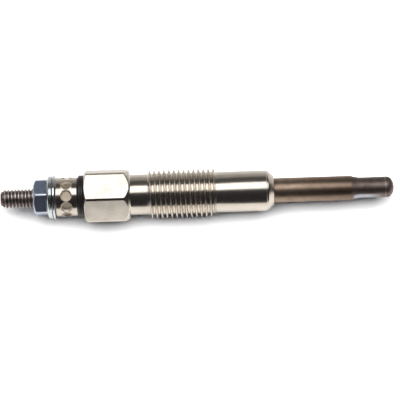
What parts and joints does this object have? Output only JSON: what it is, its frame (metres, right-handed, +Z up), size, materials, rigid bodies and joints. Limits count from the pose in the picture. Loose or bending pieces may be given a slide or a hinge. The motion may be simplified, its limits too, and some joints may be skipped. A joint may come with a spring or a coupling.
{
  "type": "diesel glow plug",
  "caption": "Sheathed diesel glow plug: threaded terminal stud with flanged nut, crimp ring, hexagon and threaded shell, conical seat and a slim heater tube with a round tip.",
  "frame": {"origin": "on the surface that the plug lies on, below the middle of its length", "axes": "+X along the plug's axis from the terminal stud to the glowing tip, +Z up with the hexagon lying on one flat, -Y towards the camera of the picture"},
  "size_m": [0.0802, 0.0114, 0.01],
  "materials": {
    "rod_steel": "dark grey-brown steel, rolled thread with worn bright crests",
    "bright_zinc": "bright bluish zinc plate",
    "crimped_nickel": "bright plated soft metal with punched dimples",
    "black_insulator": "satin black moulded insulator",
    "bright_nickel": "bright nickel plate over turned steel, slightly warm",
    "heat_tinted_alloy": "ground heat-resisting alloy, brown with heat tint",
    "black_rubber": "matt black rubber",
    "red_silicone": "matt red silicone rubber",
    "control_wire": "drawn nickel-iron wire",
    "heating_wire": "drawn heating alloy wire",
    "pressed_magnesia": "pressed white powder"
  },
  "bodies": {
    "root": {"centre_rod": "rod_steel", "terminal_nut": "bright_zinc", "terminal_washer": "bright_zinc", "crimp_ring": "crimped_nickel", "insulating_bush": "black_insulator", "shell": "bright_nickel", "sheath_tube": "heat_tinted_alloy", "shell_o_ring": "black_rubber", "sheath_seal": "red_silicone", "control_coil": "control_wire", "heating_coil": "heating_wire", "magnesia_fill": "pressed_magnesia"}
  },
  "joints": []
}
